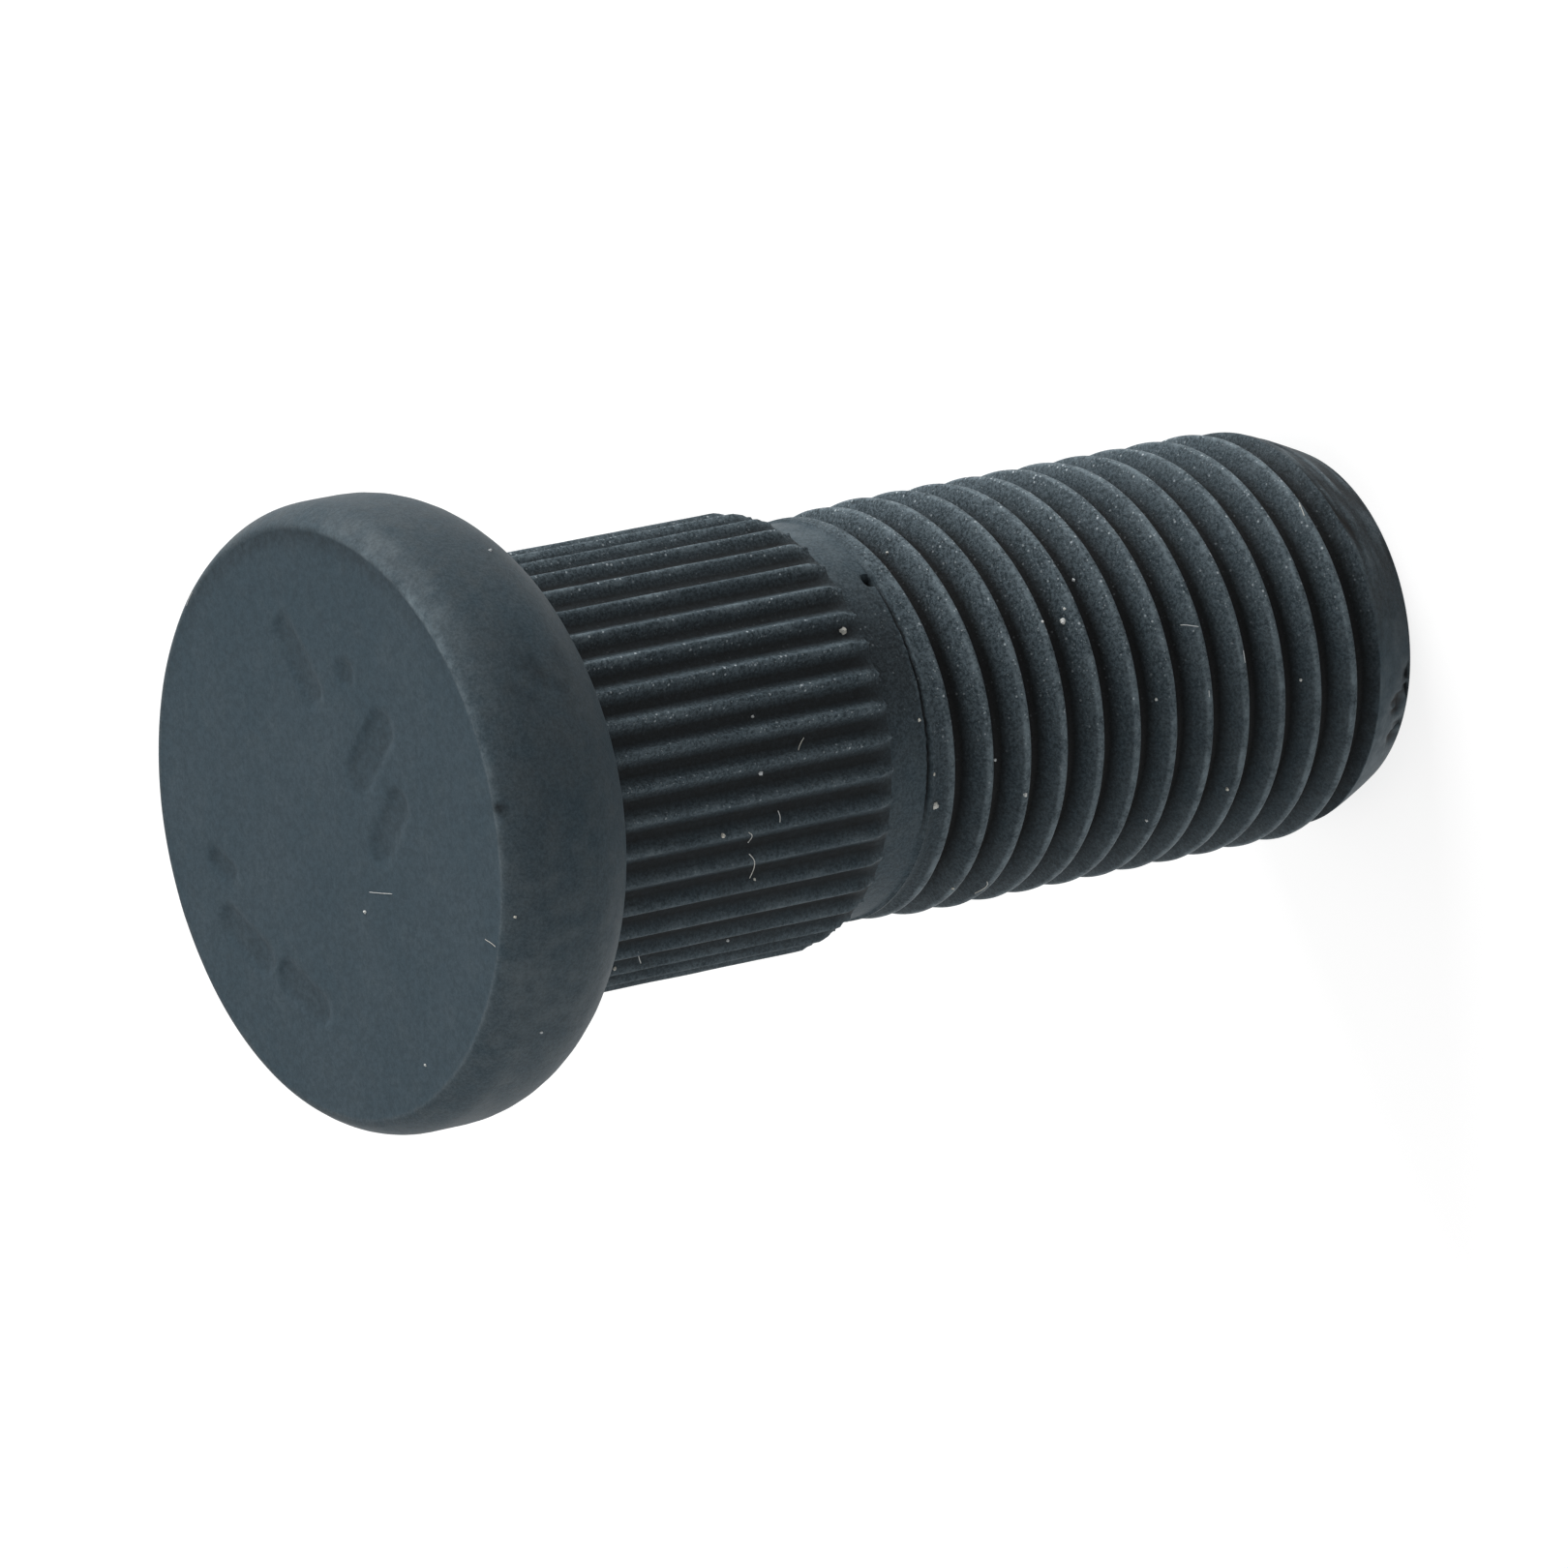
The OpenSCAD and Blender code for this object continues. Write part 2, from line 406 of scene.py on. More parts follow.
def neck(skin):
    """The smooth neck, with the fine crease under the lip of the thread and a small nick in it."""
    shaded = toward(skin.angles, *NECK_SHADED)
    chipped = toward(skin.angles, *NECK_CHIPPED)
    # Painted highlights: the top lamp's sheen along one side of the neck, and a fainter one from below on
    # another side.
    rubbed_and_lit = 0.4 * toward(skin.angles, *NECK_HIGHLIGHT) + 0.14 * toward(skin.angles, *NECK_FAINT_HIGHLIGHT)
    ragged = rough_around(skin.angles, 9, 2, 0.3, 7.0)
    rings = []
    for up in NECK_HEIGHTS:
        z = THREAD_TOP + up
        crease = crease_open(skin.angles, up)
        nick = near(skin.angles, z, *NECK_NICK, NECK_RADIUS, 0.4)
        lip = smooth(1 - up / 0.06)
        radius = NECK_RADIUS + (LIP_RADIUS - NECK_RADIUS) * lip - CREASE_DEPTH * crease - NICK_DEPTH * nick
        # Painted shade in the crease and the nick, and a darker band on the side that the lamps light least.
        dirt_and_shade = np.maximum(np.maximum(crease, nick), 0.56 * shaded * smooth((up - 0.1) / 0.3))
        chips = smooth(1 - abs(up - 0.17) / 0.12) * chipped * smooth(2.5 * ragged)
        # The lip's ragged edge and the chips are worn pale, and the painted highlights are added on top.
        wear_and_highlight = np.maximum(0.9 * lip * smooth(0.6 + 1.5 * ragged), 0.7 * chips)
        wear_and_highlight = np.maximum(wear_and_highlight, rubbed_and_lit) * (1 - nick) * (1 - crease)
        rings.append(skin.ring(radius, z, NECK_GRAIN + 0.45 * shaded, dirt_and_shade, wear_and_highlight))
    skin.join_all(rings)
    return rings[0], rings[-1]


def crease_open(angles, up):
    """How open the ragged crease is at a height above the lip. It shows on one side and fades out both ways."""
    ragged = rough_around(angles, 9, 0, 0.4, 3.0)
    shown = smooth(1.6 * toward(angles, *CREASE_SHOWN)) * smooth(1.2 + ragged)
    return shown * smooth(1.25 - abs(up - 0.1 - 0.04 * ragged) / 0.07)


def splined_shank(skin):
    """The splines, whose crests narrow and run down to the neck and end in small torn burrs."""
    across = np.tile([down for _, down in SPLINE_COLUMNS], SPLINE_COUNT)
    rubbed_and_lit = lit_side(skin.angles)
    worn_and_lit_side = 0.55 + 0.55 * toward(skin.angles, *SPLINES_LIT)
    # The grit and its glints are painted stronger on the lit side, as light.
    grain = (0.6 + 0.35 * rubbed_and_lit) * (1 - 0.3 * across)
    # Painted shade at the foot of the splines, where they step down to the neck.
    rings = [skin.ring(NECK_RADIUS + 0.02, SPLINE_END_Z, NECK_GRAIN, dirt_and_shade=0.3)]
    for up in SPLINE_HEIGHTS:
        uneven = rough_around(skin.angles, 7, up * 0.6, 0.9, 5.0)
        torn = rough_around(skin.angles, 8, up, 0.25, 1.0)
        low = smooth(1 - up / SPLINE_RUNOUT)
        down = across ** (1 - 0.6 * low)
        burr = BURR_HEIGHT * torn * smooth(1 - abs(up - 0.3) / 0.5)
        crest = SPLINE_RADIUS - 0.01 - SPLINE_RUNOUT_DROP * low ** 1.5 + burr
        floor = SPLINE_FLOOR_RADIUS - (0.12 if up < 0.05 else 0.0)
        radius = crest + (floor - crest) * down + CREST_WAVE * uneven * (1 - down)
        on_crest = smooth(1.25 - down / 0.36)
        # The crests are worn paler, and more so on the lit side as a painted highlight; their torn ends are
        # worn bright.
        wear_and_highlight = on_crest * (worn_and_lit_side * smooth(0.6 + uneven) + 1.3 * low * smooth(0.4 + torn * 3))
        # Painted shade in the grooves, and a little on the side away from the key lamp.
        dirt_and_shade = np.maximum(0.88 * smooth((down - 0.28) / 0.74) * (1 - 0.3 * low), 0.06 * (1 - rubbed_and_lit))
        rings.append(skin.ring(radius, SPLINE_END_Z + up, grain, dirt_and_shade, wear_and_highlight))
    # Painted shade in the corner under the head.
    under_head = SPLINE_RADIUS + (SPLINE_FLOOR_RADIUS - SPLINE_RADIUS) * across
    rings.append(skin.ring(under_head, SEAT_Z - 0.12, 0.8, dirt_and_shade=0.9))
    rings.append(skin.ring(SPLINE_RADIUS + 0.1, SEAT_Z, 0.5, dirt_and_shade=0.9))
    skin.join_all(rings)
    return rings[0], rings[-1]


def arc(centre_x, centre_y, radius, angles):
    return [(centre_x + radius * math.cos(t), centre_y + radius * math.sin(t)) for t in angles]


def head_profile():
    """Radius and height above the seat along the head's side, from the seat to the face."""
    barrel_x = HEAD_RADIUS - BACK_RADIUS
    barrel_y = HEAD_HEIGHT - SHOULDER_HEIGHT - RIM_HEIGHT
    low = math.asin(barrel_y / BACK_RADIUS)
    shoulder_x = HEAD_RADIUS - SHOULDER_RADIUS
    shoulder_y = HEAD_HEIGHT - SHOULDER_HEIGHT
    high = math.asin(SHOULDER_HEIGHT / SHOULDER_RADIUS)
    edge = shoulder_x + SHOULDER_RADIUS * math.cos(high)
    steps = range(ARC_STEPS + 1)
    return [
        *((radius, 0.0) for radius in SEAT_RADII),
        *arc(barrel_x, barrel_y, BACK_RADIUS, [-low * (1 - k / ARC_STEPS) for k in steps]),
        (HEAD_RADIUS, barrel_y + RIM_HEIGHT / 2),
        *arc(shoulder_x, shoulder_y, SHOULDER_RADIUS, [high * 0.93 * k / ARC_STEPS for k in steps]),
        *((edge - inward, HEAD_HEIGHT - below) for inward, below in EDGE_ROUNDING),
    ]


def head_side(skin):
    """The side of the head, worn pale and painted with a highlight on one part of its shoulder, stained dark
    below that, and painted faintly paler on its lower side.
    """
    pale_lit_side = toward(skin.angles, *SHOULDER_LIT)
    rubbed_and_lit = 0.27 * toward(skin.angles, *HEAD_FAINTLY_LIT)
    chips = rough_around(skin.angles, 10, 0, 0.7, 11.0)
    chipped = toward(skin.angles, *EDGE_CHIPPED) * smooth(0.85 + 1.6 * chips)
    rings = []
    for radius, height in head_profile():
        z = SEAT_Z + height
        lumps = rough_around(skin.angles, 8, height, 2.2, 9.0)
        blots = rough_around(skin.angles, 10, height, 0.8, 6.0)
        dent = HEAD_DENT * np.abs(lumps) if height > 0.4 else 0.0
        at_shoulder = smooth(height - 4.2)
        at_edge = smooth(1 - abs(height - HEAD_HEIGHT) / 0.2)
        # Painted highlight with blotchy wear on one part of the shoulder, chipped pale edges, and a faint
        # painted lightening on the lower side.
        wear_and_highlight = at_shoulder * pale_lit_side * (0.34 + 0.35 * blots) + 1.1 * at_edge * chipped + rubbed_and_lit
        stain = near(skin.angles, z, *HEAD_STAIN, HEAD_RADIUS) * (0.1 + 0.5 * blots)
        nick = near(skin.angles, z, *EDGE_NICK, HEAD_RADIUS, 0.5)
        worn_down = radius - dent - EDGE_NICK_DEPTH * nick
        # Painted shade in the nick, and a stain below the shoulder.
        rings.append(skin.ring(worn_down, z, HEAD_GRAIN, np.maximum(stain, 0.9 * nick), wear_and_highlight * (1 - nick)))
    skin.join_all(rings)
    return rings[0], rings[-1]


def stroke_share(x, y):
    """How deep the plain strokes in the face are at a point, from 0 to 1."""
    share = 0.0
    for x0, y0, x1, y1, half in FACE_STROKES:
        dx, dy = x1 - x0, y1 - y0
        t = min(1.0, max(0.0, ((x - x0) * dx + (y - y0) * dy) / (dx * dx + dy * dy)))
        gap = math.hypot(x - x0 - t * dx, y - y0 - t * dy)
        share = max(share, smooth((half + STROKE_SLOPE / 2 - gap) / STROKE_SLOPE))
    return share


def face_ring(skin, radius, edge, every):
    """One ring of the almost flat face, with a painted shadow inside one part of its edge and painted shade in
    the strokes.
    """
    heights, dirt_and_shade = [], []
    for a in skin.angles[::every]:
        x, y = radius * math.cos(a), radius * math.sin(a)
        mark = stroke_share(x, y)
        wave = FACE_WAVE * rough(x, y, 0, 3.0, 2.0) * min(1.0, edge - radius)
        # Painted shadow just inside one part of the face's edge.
        edge_shadow = 0.34 * (smooth((radius - edge + 0.85) / 0.6) * toward(a, *FACE_EDGE_SHADOW))
        heights.append(OVERALL_LENGTH - STROKE_DEPTH * mark - FACE_SINK + wave)
        # Painted shade in the sunk strokes, and the painted shadow inside the edge.
        dirt_and_shade.append(max(edge_shadow, 0.16 * mark))
    return skin.ring(radius, np.array(heights), FACE_GRAIN, np.array(dirt_and_shade), every=every)


def head_face(skin):
    """The face of the head, with half as many points around its middle."""
    edge = head_profile()[-1][0]
    rings = [face_ring(skin, radius, edge, 1) for radius in np.arange(edge - 0.125, 4.1, -0.125)]
    rings += [face_ring(skin, radius, edge, 2) for radius in np.arange(4.0, 0.3, -0.2)]
    skin.join_all(rings)
    centre = skin.point(0, 0, OVERALL_LENGTH - FACE_SINK, FACE_GRAIN)
    skin.close(rings[-1], centre, inward=True)
    return rings[0]


def stud_skin():
    """The whole skin in millimetres, with the head a little off the axis."""
    skin = Skin()
    end = end_face(skin)
    foot, lip = thread(skin)
    neck_low, neck_high = neck(skin)
    shank_low, shank_high = splined_shank(skin)
    side_low, side_high = head_side(skin)
    face_rim = head_face(skin)
    skin.join(end, foot)
    skin.join(lip, neck_low)
    skin.join(neck_high, shank_low)
    skin.join(shank_high, side_low)
    skin.join(side_high, face_rim)
    for index, (x, y, z) in enumerate(skin.points):
        if z > SEAT_Z - 0.01:
            skin.points[index] = (x - HEAD_OFF_AXIS, y, z)
    return skin


def placed(name, data):
    """A new object of the scene that shows this mesh, camera or light."""
    made = bpy.data.objects.new(name, data)
    bpy.context.scene.collection.objects.link(made)
    return made


def stud_object(skin):
    mesh = bpy.data.meshes.new("stud")
    mesh.from_pydata((np.array(skin.points) / 1000).tolist(), [], skin.faces)
    for name, values in (("grain", skin.grain), ("dirt_and_shade", skin.dirt_and_shade), ("wear_and_highlight", skin.wear_and_highlight)):
        mesh.attributes.new(name, "FLOAT", "POINT").data.foreach_set("value", np.array(values, np.float32))
    mesh.validate()
    mesh.shade_smooth()
    mesh.set_sharp_from_angle(angle=math.radians(52))
    return placed("stud", mesh)


# Dust and fibres on the stud

# Specks of pale dust on the stud's side: angle, height and radius
SIDE_DUST = [
    (317, 36.0, 0.06), (245, 39.4, 0.05), (220, 37.7, 0.05), (203, 31.8, 0.07), (245, 29.2, 0.08),
    (259, 27.5, 0.07), (274, 27.4, 0.05), (229, 27.5, 0.05), (204, 27.3, 0.05), (292, 22.9, 0.13),
    (264, 20.7, 0.06), (238, 20.1, 0.12), (248, 20.3, 0.05), (321, 18.8, 0.05), (203, 18.0, 0.05),
    (246, 17.3, 0.05), (237, 16.6, 0.07), (284, 15.2, 0.05), (284, 14.1, 0.1), (287, 14.0, 0.05),
    (297, 12.8, 0.06), (256, 11.0, 0.05), (216, 10.7, 0.05), (223, 7.7, 0.06), (253, 5.0, 0.05),
    (303, 3.34, 0.04),
]

# Specks on the face of the head: place across it and radius
FACE_DUST = [(-3.2, -1.1, 0.06), (-8.4, -2.8, 0.05)]

# Fibres on the side, and bright smears on crests: the angle and height of the points they pass through
SIDE_FIBRES = [
    [(266, 25.7), (264.5, 25.9), (263, 26.0)],
    [(238.5, 28.1), (237, 27.9), (235.5, 27.8), (233.5, 27.8), (231, 27.9)],
    [(248.6, 27.0), (247, 26.9), (245.3, 26.9)],
    [(244.6, 28.2), (243.4, 28.0), (241.7, 28.2)],
    [(211, 31.4), (208, 31.2), (204.5, 30.9)],
    [(204, 16.7), (201.5, 16.5), (199, 16.5), (196.5, 16.7)],
    [(275.6, 9.9), (275.4, 9.7), (274.8, 9.45), (274.2, 9.2)],
    [(265.5, 7.6), (262, 7.6)],
    [(304.3, 3.31), (302, 3.36), (299.6, 3.42)],
    [(256.5, 9.17), (254.6, 9.17)],
]

# Fibres and hair scratches on the face: the points they pass through
FACE_FIBRES = [
    [(-2.6, -1.6), (-2.7, -2.2), (-2.8, -2.9)],
    [(-4.8, -7.7), (-4.95, -8.0), (-5.1, -8.2)],
    [(7.7, 5.7), (7.9, 5.5), (8.1, 5.2)],
]

FIBRE_RADIUS = 0.014
FIBRE_SIDES = 5


def from_axis(angle, height, radius=0.0):
    """The place at an angle in degrees and a height and radius in millimetres."""
    a = math.radians(angle)
    return Vector((radius * math.cos(a), radius * math.sin(a), height))


def dust(skin):
    """Specks and fibres lying on the stud, all in one mesh of small closed bodies."""
    carrier = BVHTree.FromPolygons(skin.points, skin.faces)
    above = Vector((0, 0, 1))

    def on_side(angle, height):
        start = from_axis(angle, height, 15)
        return carrier.ray_cast(start, from_axis(angle, height) - start)[0]

    def on_face(x, y):
        return carrier.ray_cast(Vector((x, y, OVERALL_LENGTH + 1)), -above)[0]

    made = bmesh.new()
    specks = [(on_side(angle, height), radius) for angle, height, radius in SIDE_DUST]
    specks += [(on_face(x, y), radius) for x, y, radius in FACE_DUST]
    for k, (place, radius) in enumerate(specks):
        for vert in bmesh.ops.create_icosphere(made, subdivisions=2, radius=radius)["verts"]:
            lump = 1 + 0.6 * rough(*(vert.co / radius), 0.7, k)
            vert.co = place + vert.co * lump
    for places in SIDE_FIBRES:
        crest = max(on_side(*place).xy.length for place in places) + FIBRE_RADIUS
        fibre(made, [from_axis(*place, crest) for place in places], FIBRE_RADIUS)
    for places in FACE_FIBRES:
        fibre(made, [on_face(*place) + above * FIBRE_RADIUS for place in places], 0.65 * FIBRE_RADIUS)
    bmesh.ops.scale(made, vec=(0.001, 0.001, 0.001), verts=made.verts)
    mesh = bpy.data.meshes.new("dust")
    made.to_mesh(mesh)
    made.free()
    return placed("dust", mesh)


def fibre(made, points, radius):
    """A thin closed tube along these points, with its corners cut round and both ends thinner."""
    for _ in range(2):
        cuts = [a.lerp(b, share) for a, b in zip(points, points[1:]) for share in (0.25, 0.75)]
        points = [points[0], *cuts, points[-1]]
    sides = range(FIBRE_SIDES)
    rings = []
    for k, point in enumerate(points):
        ahead = points[min(k + 1, len(points) - 1)] - points[max(k - 1, 0)]
        side = ahead.orthogonal().normalized()
        over = ahead.normalized().cross(side)
        size = radius * (0.4 if k in (0, len(points) - 1) else 1)
        turns = [2 * math.pi * t / FIBRE_SIDES for t in sides]
        around = [point + (side * math.cos(turn) + over * math.sin(turn)) * size for turn in turns]
        rings.append([made.verts.new(place) for place in around])
    for first, second in zip(rings, rings[1:]):
        nearest = min(sides, key=lambda shift: (second[shift].co - first[0].co).length)
        second[:] = second[nearest:] + second[:nearest]
        for t in sides:
            n = (t + 1) % FIBRE_SIDES
            made.faces.new([first[t], first[n], second[n], second[t]])
    made.faces.new(rings[0][::-1])
    made.faces.new(rings[-1])


# Materials

# Colours of the smooth coating on the head and neck
COAT_DEEP = (0.032, 0.055, 0.071, 1)
COAT_PALE = (0.042, 0.064, 0.08, 1)
COAT_BLOOM = (0.07, 0.09, 0.1, 1)
COAT_PORES = (0.017, 0.029, 0.037, 1)
COAT_TAN = (0.15, 0.137, 0.118, 1)

# Colours of the gritty coating on the splines and thread
GRIT_DEEP = (0.021, 0.031, 0.037, 1)
GRIT_PALE = (0.096, 0.126, 0.146, 1)
GRIT_FINE = (0.028, 0.039, 0.046, 1)

# Colours of dirt and painted shade, of worn places and painted highlights, and of painted glints
SHADE_AND_DIRT_BLACK = (0.006, 0.006, 0.006, 1)
WORN_AND_HIGHLIT_PALE = (0.152, 0.193, 0.216, 1)
PAINTED_GLINT = (0.42, 0.47, 0.5, 1)

# Colours of dust and of the table
DUST_WHITE = (0.6, 0.63, 0.64, 1)
DUST_CREAM = (0.6, 0.59, 0.53, 1)
TABLE_DEEP = (0.32, 0.32, 0.32, 1)
TABLE_PALE = (0.34, 0.34, 0.34, 1)


def shown(sockets, name):
    """The socket of this name that the node's settings leave in use."""
    return next(s for s in sockets if s.name == name and s.enabled)


class Wire:
    """A socket of a shader, with arithmetic that adds Math nodes."""

    def __init__(self, finish, socket):
        self.finish = finish
        self.socket = socket

    def math(self, operation, a, b):
        return self.finish.wire("ShaderNodeMath", {"operation": operation}, {0: a, 1: b}, "Value")

    def __add__(self, other):
        return self.math("ADD", self, other)

    def __sub__(self, other):
        return self.math("SUBTRACT", self, other)

    def __mul__(self, other):
        return self.math("MULTIPLY", self, other)

    def __rsub__(self, other):
        return self.math("SUBTRACT", other, self)

    __radd__ = __add__
    __rmul__ = __mul__

    def between(self, low, high):
        """0 below the low value, 1 above the high one and smooth between them."""
        return self.finish.wire(
            "ShaderNodeMapRange",
            {"interpolation_type": "SMOOTHSTEP"},
            {"Value": self, "From Min": low, "From Max": high},
            "Result",
        )


class Finish:
    """The nodes of one material, or of the room around the stud."""

    def __init__(self, owner):
        self.owner = owner
        owner.use_nodes = True
        self.nodes = owner.node_tree.nodes
        self.links = owner.node_tree.links
        self.nodes.clear()

    def node(self, kind, settings, sockets):
        """A node of this kind: its settings first, then the value or the wire of each socket."""
        made = self.nodes.new(kind)
        for name, value in settings.items():
            setattr(made, name, value)
        for name, value in sockets.items():
            socket = made.inputs[name] if isinstance(name, int) else shown(made.inputs, name)
            if isinstance(value, Wire):
                self.links.new(value.socket, socket)
            else:
                socket.default_value = value
        return made

    def wire(self, kind, settings, sockets, output):
        """The output of this name of a new node."""
        return Wire(self, shown(self.node(kind, settings, sockets).outputs, output))

    def place(self):
        return self.wire("ShaderNodeTexCoord", {}, {}, "Object")

    def noise(self, per_metre, detail, roughness=0.5):
        return self.wire(
            "ShaderNodeTexNoise",
            {},
            {"Vector": self.place(), "Scale": per_metre, "Detail": detail, "Roughness": roughness},
            "Fac",
        )

    def painted_glints(self, per_metre, radius):
        """Painted glints: small round dots in a few of the cells of an even scatter."""
        scatter = {"Vector": self.place(), "Scale": per_metre}
        gap = self.wire("ShaderNodeTexVoronoi", {}, scatter, "Distance")
        # The Math node makes one number of each cell's own colour
        chance = self.wire("ShaderNodeTexVoronoi", {}, scatter, "Color") * 1.0
        return (radius - gap).between(0, 0.1) * chance.between(0.66, 0.74)

    def painted(self, name):
        return self.wire("ShaderNodeAttribute", {"attribute_name": name}, {}, "Fac")

    def mix(self, factor, first, second):
        return self.wire(
            "ShaderNodeMix",
            {"data_type": "RGBA"},
            {"Factor": factor, "A": first, "B": second},
            "Result",
        )

    def output(self, shader, kind="ShaderNodeOutputMaterial"):
        self.node(kind, {}, {"Surface": shader})
        return self.owner


def phosphated_steel():
    """Dark blue-grey phosphate over steel: smooth on the head and neck, gritty on the splines and thread."""
    finish = Finish(bpy.data.materials.new("phosphated_steel"))
    grain, dirt_and_shade, wear_and_highlight = finish.painted("grain"), finish.painted("dirt_and_shade"), finish.painted("wear_and_highlight")
    cloud = finish.noise(230, 4.0, 0.6)
    mottle = finish.noise(1400, 3.0, 0.6)
    pores = finish.noise(4200, 4.0, 0.75)
    grit = finish.noise(9500, 4.0, 0.75)
    fine = finish.noise(20000, 1.0)
    smooth_coat = finish.mix(cloud.between(0.3, 0.7), COAT_DEEP, COAT_PALE)
    smooth_coat = finish.mix(mottle.between(0.45, 0.8) * 0.25, smooth_coat, COAT_BLOOM)
    smooth_coat = finish.mix(pores.between(0.36, 0.64) * 0.5, smooth_coat, COAT_PORES)
    tan = (grain - 0.12).between(0, 0.15) * (cloud * 0.5 + mottle * 0.5).between(0.25, 0.75) * 0.19
    smooth_coat = finish.mix(tan, smooth_coat, COAT_TAN)
    gritty_coat = finish.mix(grit.between(0.38, 0.62), GRIT_DEEP, GRIT_PALE)
    gritty_coat = finish.mix(fine.between(0.35, 0.7) * 0.4, gritty_coat, GRIT_FINE)
    colour = finish.mix(grain, smooth_coat, gritty_coat)
    # Painted shade and dirt: the grooves, creases, nicks and shaded sides go towards black.
    patchy_dirt_and_shade = dirt_and_shade + (pores - 0.5) * dirt_and_shade * (1 - dirt_and_shade) * 2.4
    colour = finish.mix(patchy_dirt_and_shade * 0.96, colour, SHADE_AND_DIRT_BLACK)
    # Pale wear, and painted highlights on the lit places.
    worn_and_highlit = wear_and_highlight * (mottle * 0.8 + (grit - 0.5) * grain * 1.2).between(0.1, 0.8)
    colour = finish.mix(worn_and_highlit, colour, WORN_AND_HIGHLIT_PALE)
    # Painted glints, stronger where the coating is gritty and on the lit side.
    painted_glints = finish.painted_glints(4600, 0.24) + finish.painted_glints(9000, 0.3) * 0.5
    painted_sparkle = painted_glints * (grain - 0.5).between(0, 0.4) * (0.45 + wear_and_highlight * 0.9 - dirt_and_shade * 0.35)
    colour = finish.mix(painted_sparkle, colour, PAINTED_GLINT)
    height = (grit * 0.7 + fine * 0.3) * grain + mottle * 0.12
    relief = {"Strength": 0.8, "Distance": 0.00006, "Height": height}
    steel = finish.wire(
        "ShaderNodeBsdfPrincipled",
        {},
        {
            "Base Color": colour,
            "Roughness": 0.5 + grain * 0.15 - worn_and_highlit * 0.1,
            "Specular IOR Level": 0.09,
            "Normal": finish.wire("ShaderNodeBump", {}, relief, "Normal"),
        },
        "BSDF",
    )
    return finish.output(steel)


def pale_dust():
    """Matt whitish dust with a touch of cream."""
    finish = Finish(bpy.data.materials.new("pale_dust"))
    tint = finish.noise(300, 1.0)
    colour = finish.mix(tint.between(0.4, 0.6), DUST_WHITE, DUST_CREAM)
    matt = finish.wire("ShaderNodeBsdfPrincipled", {}, {"Base Color": colour, "Roughness": 0.8}, "BSDF")
    return finish.output(matt)


def seen(finish):
    """1 for rays from the camera and for mirrored or refracted ones, and 0 for those that light things."""
    path = finish.node("ShaderNodeLightPath", {}, {})
    kinds = ("Is Camera Ray", "Is Glossy Ray", "Is Transmission Ray")
    camera_ray, glossy_ray, transmission_ray = [Wire(finish, path.outputs[kind]) for kind in kinds]
    return (camera_ray + glossy_ray + transmission_ray).between(0, 1)


def table_white():
    """A matt table, seen as plain white wherever no shadow falls."""
    finish = Finish(bpy.data.materials.new("table_white"))
    paper = finish.mix(finish.noise(40, 2.0), TABLE_DEEP, TABLE_PALE)
    matt = finish.wire("ShaderNodeBsdfDiffuse", {}, {"Color": paper}, "BSDF")
    glow = finish.wire("ShaderNodeEmission", {}, {"Strength": seen(finish) * TABLE_GLOW}, "Emission")
    return finish.output(finish.wire("ShaderNodeAddShader", {}, {0: matt, 1: glow}, "Shader"))


# The scene around the stud

# Half of the table's side in metres, and how much of its white is its own
TABLE_HALF = 6.0
TABLE_GLOW = 0.79

# Strength of the even light that the room throws on the stud
ROOM_LIGHT = 0.4

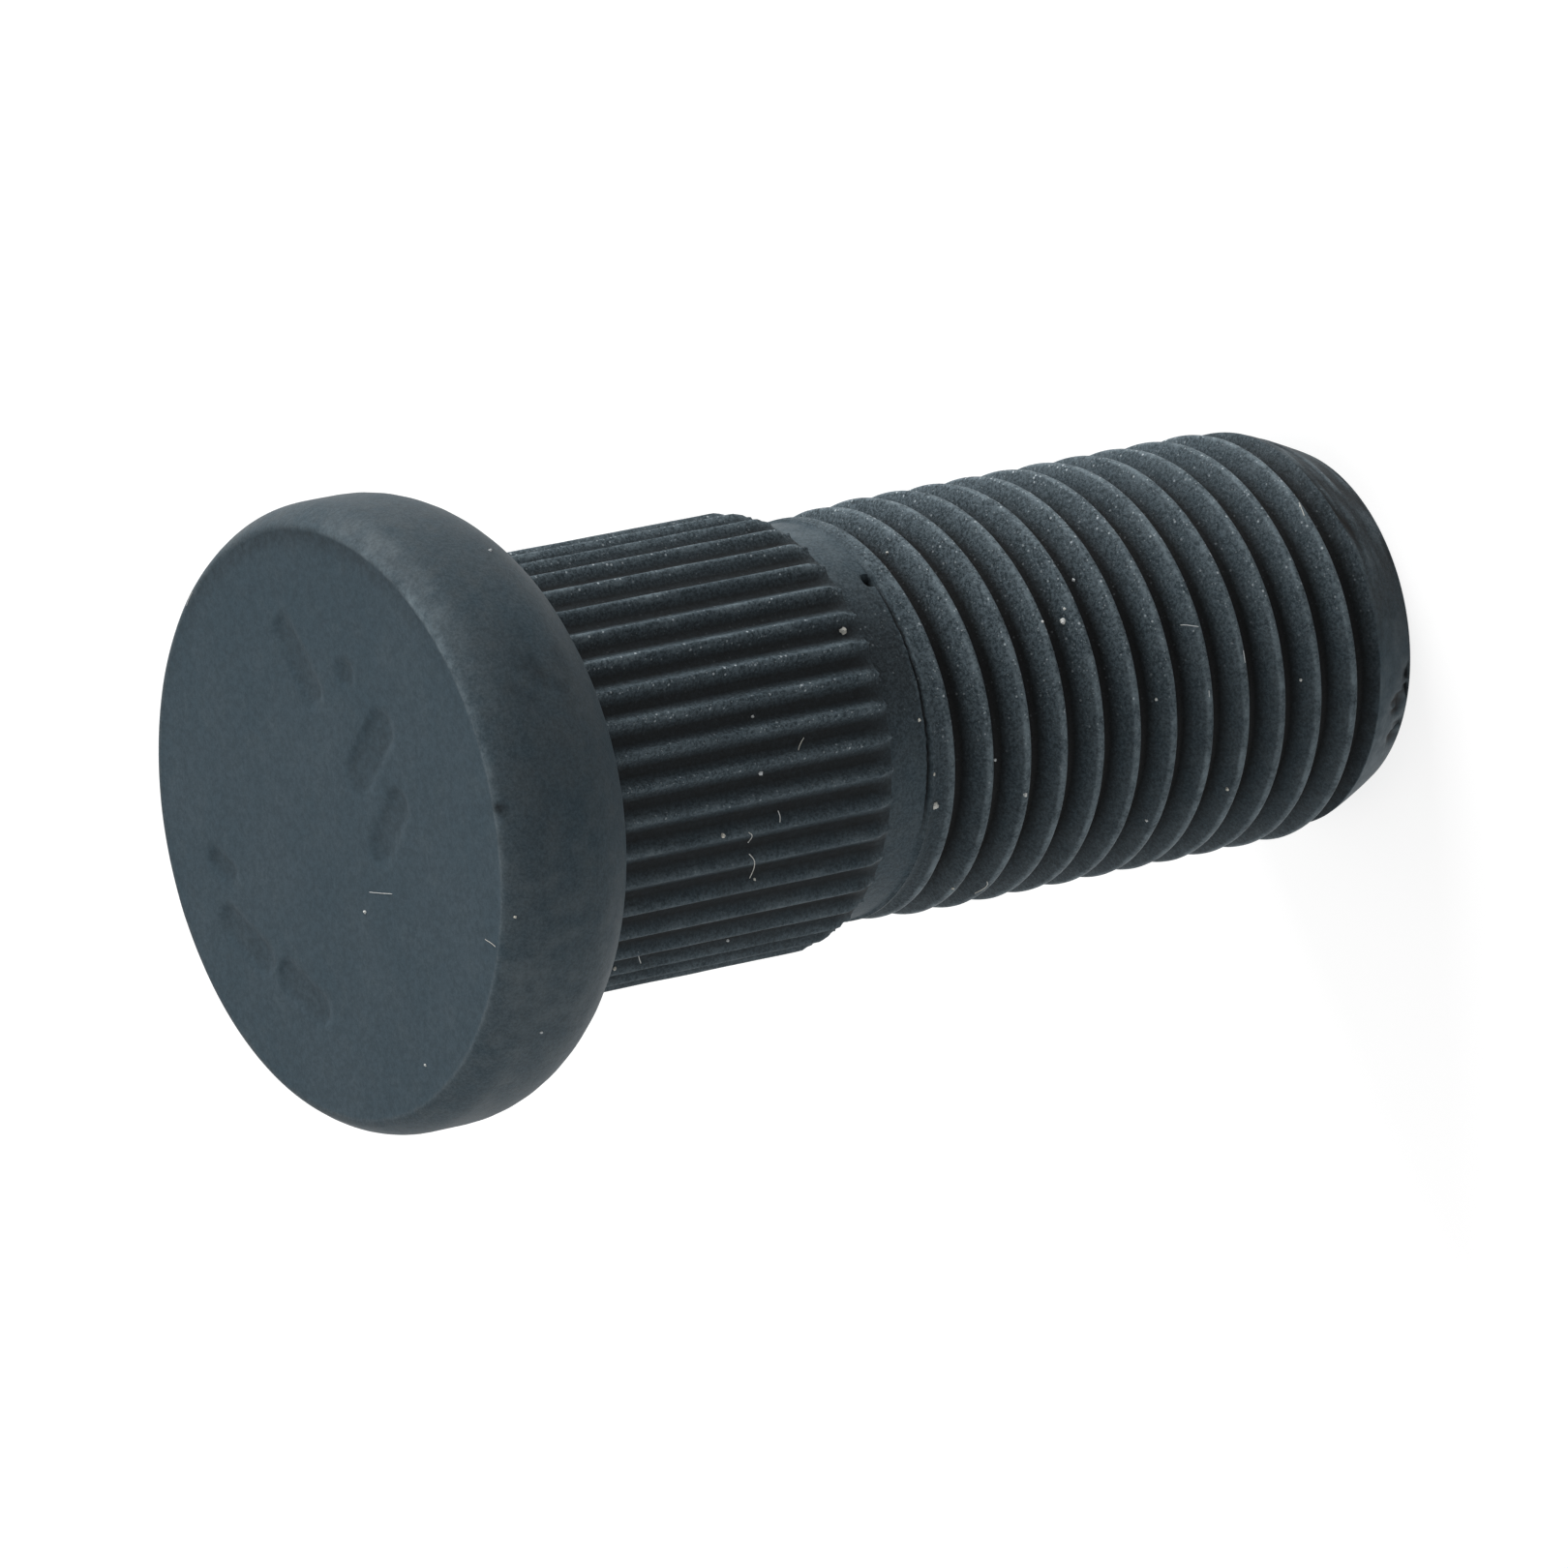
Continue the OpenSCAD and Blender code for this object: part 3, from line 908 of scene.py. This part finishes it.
# Place, size and power of each lamp, in metres and watts. All of them face the middle of the stud.
LAMPS = {
    "key": ((1.2, 0.1, 0.45), 0.8, 18),
    "low_side": ((-1.15, -0.42, 0.25), 0.8, 5),
    "top": ((0.05, 0.5, 1.1), 0.9, 4),
}
LAMP_TARGET = (0, 0, 0.02)

# The camera, in metres, fitted to the outline of the stud in the photograph
CAMERA_LENS = 391.86
CAMERA_PLACE = (-0.001848, -0.462577, 0.338326)
CAMERA_TARGET = (-0.001848, -0.000357, 0.022173)
CAMERA_UP = (0.98, -0.1127, -0.1643)


def table():
    mesh = bpy.data.meshes.new("table")
    corners = [(-1, -1), (1, -1), (1, 1), (-1, 1)]
    mesh.from_pydata([(x * TABLE_HALF, y * TABLE_HALF, 0) for x, y in corners], [], [(0, 1, 2, 3)])
    made = placed("table", mesh)
    mesh.materials.append(table_white())


def aim(thing, place, target, up):
    """Puts a camera or lamp at a place, turned to its target, with this direction upwards."""
    back = (Vector(place) - Vector(target)).normalized()
    right = Vector(up).cross(back).normalized()
    turned = Matrix((right, back.cross(right), back)).transposed().to_4x4()
    thing.matrix_world = Matrix.Translation(place) @ turned


def camera():
    lens = bpy.data.cameras.new("camera")
    lens.sensor_width = 36
    lens.lens = CAMERA_LENS
    lens.clip_start = 0.01
    lens.clip_end = 20
    made = placed("camera", lens)
    aim(made, CAMERA_PLACE, CAMERA_TARGET, CAMERA_UP)
    bpy.context.scene.camera = made


def studio():
    """Soft light from both sides and from above, little from the front, and a room that is seen as white."""
    for name, (place, size, power) in LAMPS.items():
        light = bpy.data.lights.new(name, "AREA")
        light.size = size
        light.energy = power
        aim(placed(name, light), place, LAMP_TARGET, (0, 0, 1))
    room = Finish(bpy.data.worlds.new("room"))
    strength = ROOM_LIGHT + seen(room) * (1 - ROOM_LIGHT)
    white = {"Color": (1, 1, 1, 1), "Strength": strength}
    walls = room.wire("ShaderNodeBackground", {}, white, "Background")
    bpy.context.scene.world = room.output(walls, "ShaderNodeOutputWorld")


steel = phosphated_steel()
skin = stud_skin()
stud = stud_object(skin)
stud.data.materials.append(steel)
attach(stud, "root")
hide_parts("wheel_stud")
specks = dust(skin)
specks.data.materials.append(pale_dust())
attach(specks, "root")
table()
camera()
studio()
bpy.context.scene.view_settings.view_transform = "Standard"
